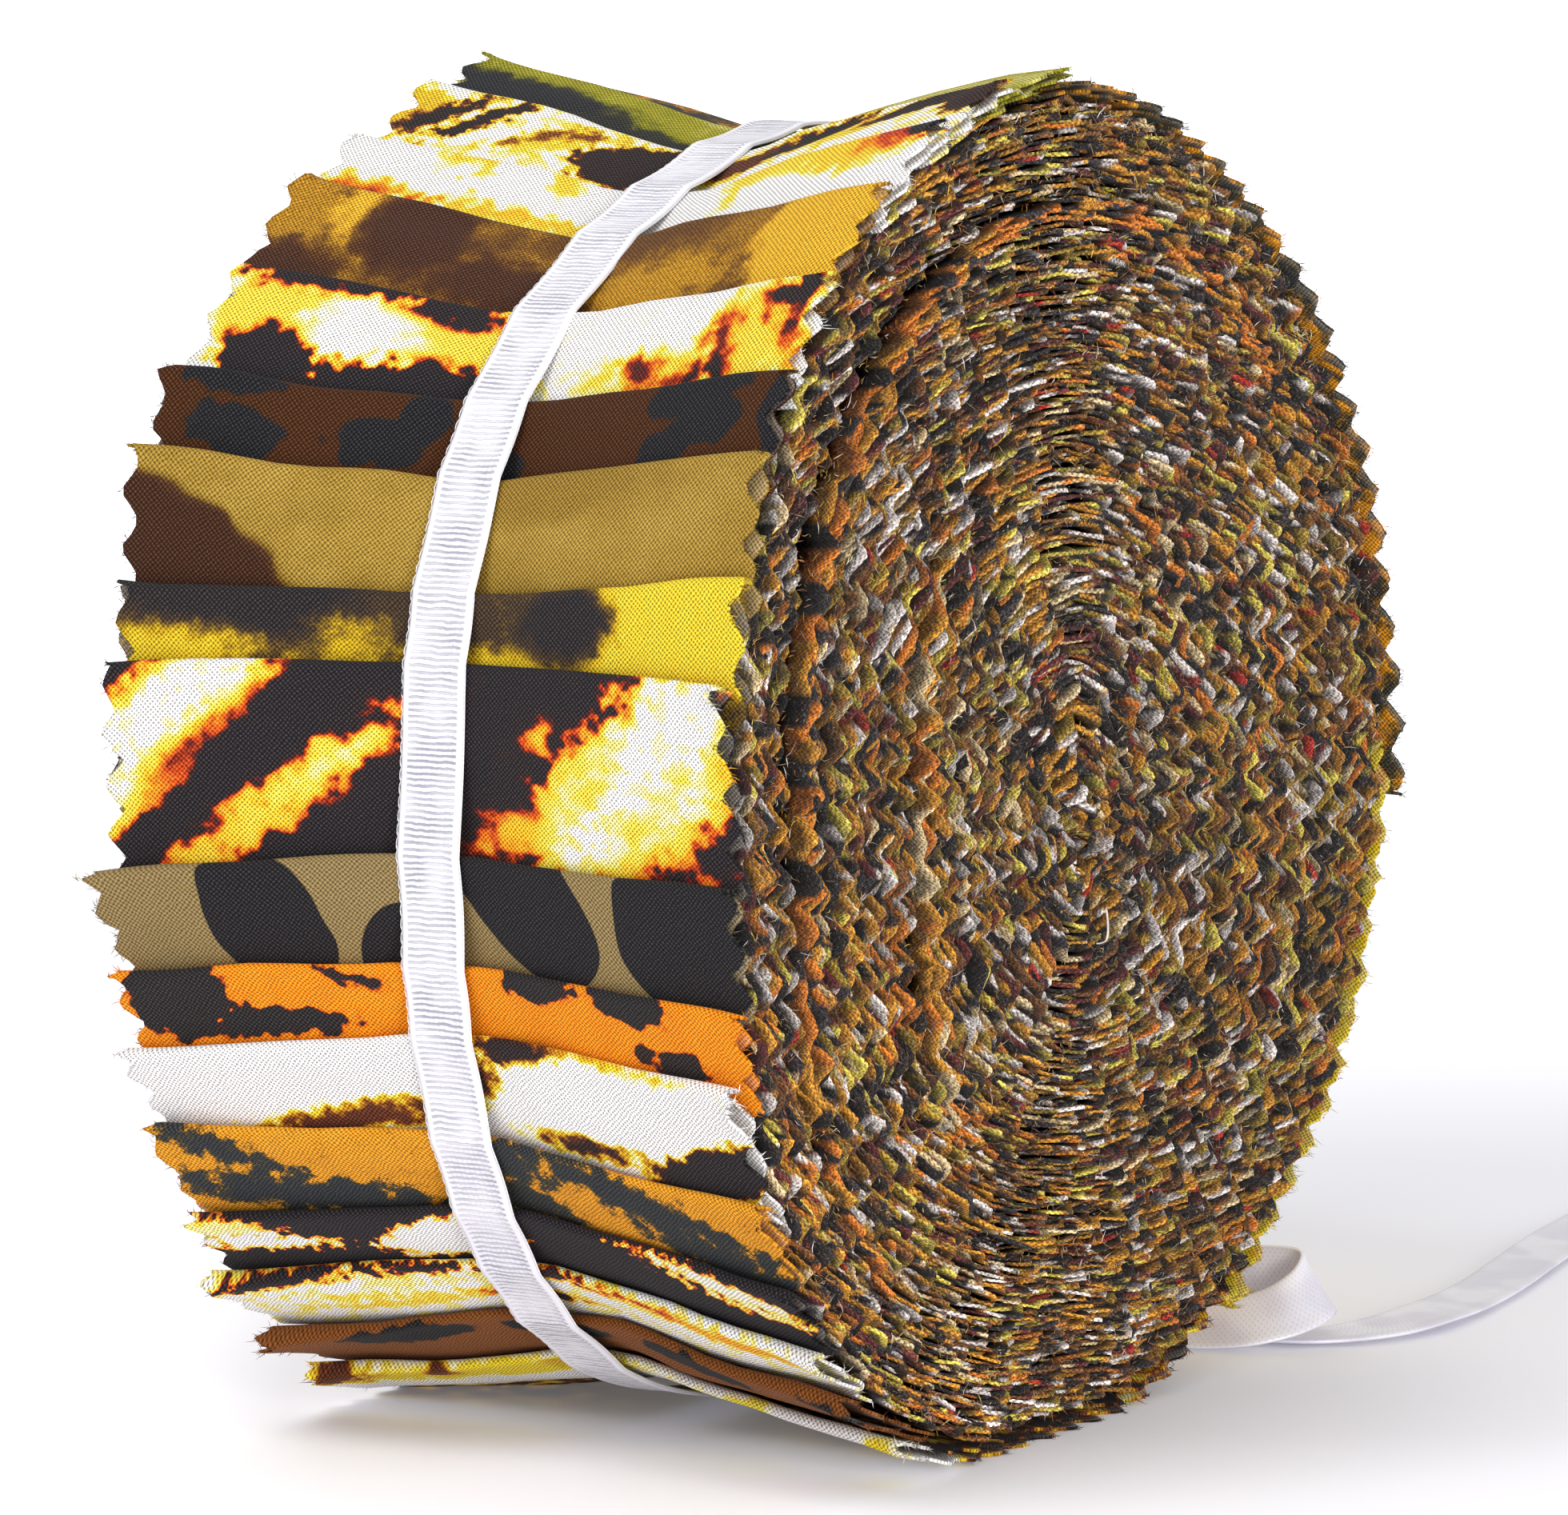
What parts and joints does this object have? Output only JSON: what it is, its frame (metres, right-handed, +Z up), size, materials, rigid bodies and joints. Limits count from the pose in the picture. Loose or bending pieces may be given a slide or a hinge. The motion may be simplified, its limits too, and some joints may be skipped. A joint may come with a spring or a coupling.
{
  "type": "fabric strip roll",
  "caption": "Roll of pinked cotton strips wound tightly together, with folded strip ends shingled over one side, tied round the middle with a narrow white ribbon.",
  "frame": {"origin": "middle of the base of the roll and its strips, on the surface that the roll stands on", "axes": "+Z up; the roll's axis lies along Y; the strip ends are shingled over the -X side and the ribbon's tail runs out to +X"},
  "size_m": [0.192, 0.0724, 0.1218],
  "materials": {
    "winding": "pinked cotton edges in mustard, charcoal, white and orange, frayed and matt",
    "strip_01": "olive and yellow-green printed cotton, dark below",
    "strip_02": "white printed cotton with black and yellow strokes",
    "strip_03": "white printed cotton with yellow runs",
    "strip_04": "brown and gold mottled cotton",
    "strip_05": "white and yellow cotton with dark red spots",
    "strip_06": "brown cotton with black blotches",
    "strip_07": "olive-gold cotton with a dark brown patch",
    "strip_08": "cotton running from dark brown to bright yellow",
    "strip_09": "black, white, yellow and orange flame-like print",
    "strip_10": "khaki cotton with large rounded black shapes",
    "strip_11": "orange cotton with black blotches",
    "strip_12": "white cotton with a yellow and black edge",
    "strip_13": "orange and charcoal mottled cotton",
    "strip_14": "black cotton with white and yellow flames",
    "strip_15": "white, yellow and black printed cotton",
    "strip_16": "brown and black printed cotton",
    "strip_17": "white and yellow printed cotton",
    "strip_18": "yellow and olive printed cotton",
    "strip_19": "gold, brown and black printed cotton",
    "ribbon": "white woven satin ribbon, semi-gloss"
  },
  "bodies": {
    "root": {"wound_roll": "winding", "strip_01": "strip_01", "strip_02": "strip_02", "strip_03": "strip_03", "strip_04": "strip_04", "strip_05": "strip_05", "strip_06": "strip_06", "strip_07": "strip_07", "strip_08": "strip_08", "strip_09": "strip_09", "strip_10": "strip_10", "strip_11": "strip_11", "strip_12": "strip_12", "strip_13": "strip_13", "strip_14": "strip_14", "strip_15": "strip_15", "strip_16": "strip_16", "strip_17": "strip_17", "strip_18": "strip_18", "strip_19": "strip_19", "ribbon_band": "ribbon", "ribbon_knot": "ribbon", "ribbon_loop": "ribbon", "ribbon_tail": "ribbon"}
  },
  "joints": []
}
